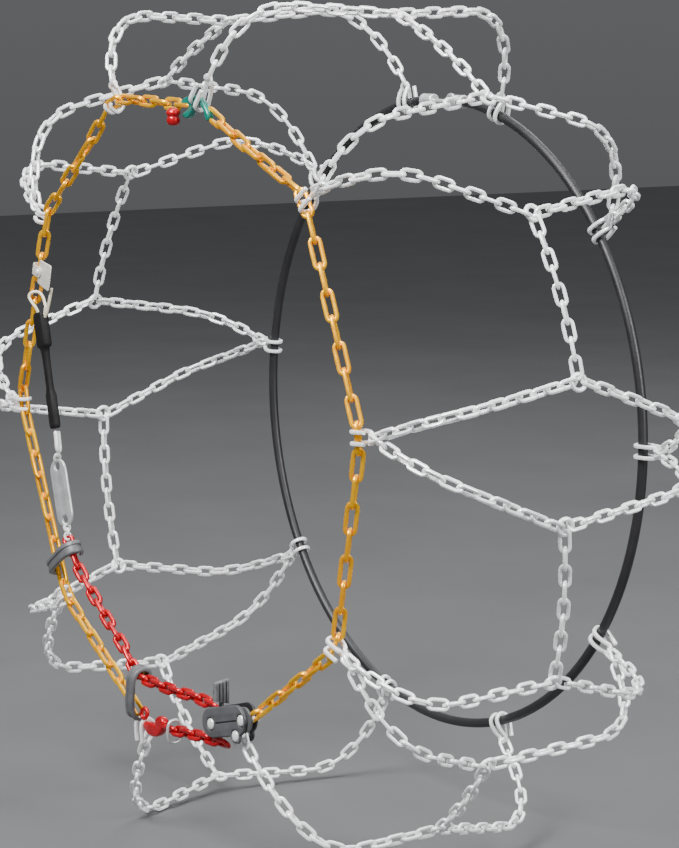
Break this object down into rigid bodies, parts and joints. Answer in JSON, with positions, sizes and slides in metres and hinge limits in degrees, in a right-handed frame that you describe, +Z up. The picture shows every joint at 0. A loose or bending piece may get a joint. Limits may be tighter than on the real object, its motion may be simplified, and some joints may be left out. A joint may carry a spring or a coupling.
{
  "type": "tire snow chains",
  "caption": "Link-net snow chain in its fitted shape: coloured side chain with tension lock and closing hook, diamond net of steel chains over the tread, and an inner cable hoop.",
  "frame": {"origin": "the centre of the wheel that the chain set fits, on its axis and at the tread's mid plane", "axes": "+Y along the wheel axis towards the vehicle, so the outer side chain is at -Y; +Z up, with the closing hook at the top"},
  "size_m": [0.6525, 0.2645, 0.6236],
  "materials": {
    "yellow_paint": "yellow-orange coating over steel links, glossy, thin on the high spots",
    "red_paint": "red coating, glossy, worn where links bear",
    "net_steel": "bright zinc plating, satin",
    "fitting_steel": "plated sheet and wire, satin",
    "rivet_steel": "bright domed rivet heads",
    "grey_moulding": "dark grey, fine grained",
    "black_moulding": "black, fine grained",
    "cable_sleeve": "black plastic sleeve over steel cable",
    "green_paint": "blue-green coating, glossy",
    "strap_rubber": "black rubber, matt",
    "cream_paint": "off-white coating",
    "tag_sheet": "off-white coated sheet"
  },
  "bodies": {
    "chain_set": {"side_chain_right": "yellow_paint", "side_chain_left": "yellow_paint", "tension_chain_upper": "red_paint", "tension_chain_middle": "red_paint", "tension_chain_lower": "red_paint", "red_hook_plate": "red_paint", "red_link": "red_paint", "red_stud": "red_paint", "outer_cross_chain_1": "net_steel", "outer_cross_chain_2": "net_steel", "outer_cross_chain_3": "net_steel", "outer_cross_chain_4": "net_steel", "outer_cross_chain_5": "net_steel", "outer_cross_chain_6": "net_steel", "outer_cross_chain_7": "net_steel", "outer_cross_chain_8": "net_steel", "outer_cross_chain_9": "net_steel", "outer_cross_chain_10": "net_steel", "inner_cross_chain_1": "net_steel", "inner_cross_chain_2": "net_steel", "inner_cross_chain_3": "net_steel", "inner_cross_chain_4": "net_steel", "inner_cross_chain_5": "net_steel", "inner_cross_chain_6": "net_steel", "inner_cross_chain_7": "net_steel", "inner_cross_chain_8": "net_steel", "inner_cross_chain_9": "net_steel", "inner_cross_chain_10": "net_steel", "tread_chain_1": "net_steel", "tread_chain_2": "net_steel", "tread_chain_3": "net_steel", "tread_chain_4": "net_steel", "tread_chain_5": "net_steel", "tread_chain_6": "net_steel", "tread_chain_7": "net_steel", "tread_chain_8": "net_steel", "hoop_hook_end": "fitting_steel", "hoop_eye_end": "fitting_steel", "plate_link_upper": "fitting_steel", "plate_link_lower": "fitting_steel", "lock_roller_pin": "fitting_steel", "release_spring": "fitting_steel", "lock_rivet_1": "rivet_steel", "lock_rivet_2": "rivet_steel", "lock_rivet_3": "rivet_steel", "lock_front_cover": "grey_moulding", "lock_rear_cover": "black_moulding", "inner_hoop_left": "cable_sleeve", "inner_hoop_right": "cable_sleeve", "rubber_strap": "strap_rubber"},
    "release_lever": {"release_tab": "grey_moulding"},
    "lock_roller": {"lock_roller": "fitting_steel"},
    "guide_hook_upper": {"guide_hook_upper": "grey_moulding"},
    "guide_hook_lower": {"guide_hook_lower": "grey_moulding"},
    "tension_plate": {"tension_plate": "fitting_steel"},
    "closing_hook": {"closing_hook": "green_paint"},
    "keeper_ring": {"keeper_ring": "fitting_steel"},
    "strap_hook": {"strap_hook": "cream_paint"},
    "size_tag": {"size_tag": "tag_sheet", "tag_rivet": "rivet_steel"}
  },
  "joints": [
    {"name": "release_lever_press", "type": "hinge", "parent": "chain_set", "child": "release_lever", "pos_m": [0.10453, -0.124, -0.18798], "axis": [0, 1, 0], "range_deg": [0, 8], "stiffness_Nm_per_rad": 0.3, "springref_deg": -5.73},
    {"name": "lock_roller_spin", "type": "hinge", "parent": "chain_set", "child": "lock_roller", "pos_m": [0.08269, -0.1225, -0.19458], "axis": [0, 1, 0], "continuous": true},
    {"name": "guide_hook_upper_rock", "type": "hinge", "parent": "chain_set", "child": "guide_hook_upper", "pos_m": [-0.17, -0.121, -0.1195], "axis": [0.829, 0, 0.5592], "range_deg": [-8, 8]},
    {"name": "guide_hook_lower_rock", "type": "hinge", "parent": "chain_set", "child": "guide_hook_lower", "pos_m": [-0.0505, -0.121, -0.21], "axis": [0.1045, 0, 0.9945], "range_deg": [-8, 2.5]},
    {"name": "tension_plate_twist", "type": "hinge", "parent": "chain_set", "child": "tension_plate", "pos_m": [-0.164, -0.1225, -0.0624], "axis": [0.284, 0, -0.9588], "range_deg": [-25, 25]},
    {"name": "closing_hook_twist", "type": "hinge", "parent": "chain_set", "child": "closing_hook", "pos_m": [0.039, -0.122, 0.24], "axis": [0.9945, 0, -0.1045], "range_deg": [-8, 8]},
    {"name": "keeper_ring_slide", "type": "slide", "parent": "chain_set", "child": "keeper_ring", "axis": [1, 0, 0], "range_m": [-0.006, 0.006]},
    {"name": "strap_stretch", "type": "slide", "parent": "chain_set", "child": "strap_hook", "axis": [-0.1961, 0, 0.9806], "range_m": [0, 0.003], "deforming": ["rubber_strap"]},
    {"name": "size_tag_swing", "type": "hinge", "parent": "chain_set", "child": "size_tag", "pos_m": [-0.1994, -0.121, 0.106], "axis": [-0.2756, 0, -0.9613], "range_deg": [0, 20]}
  ]
}
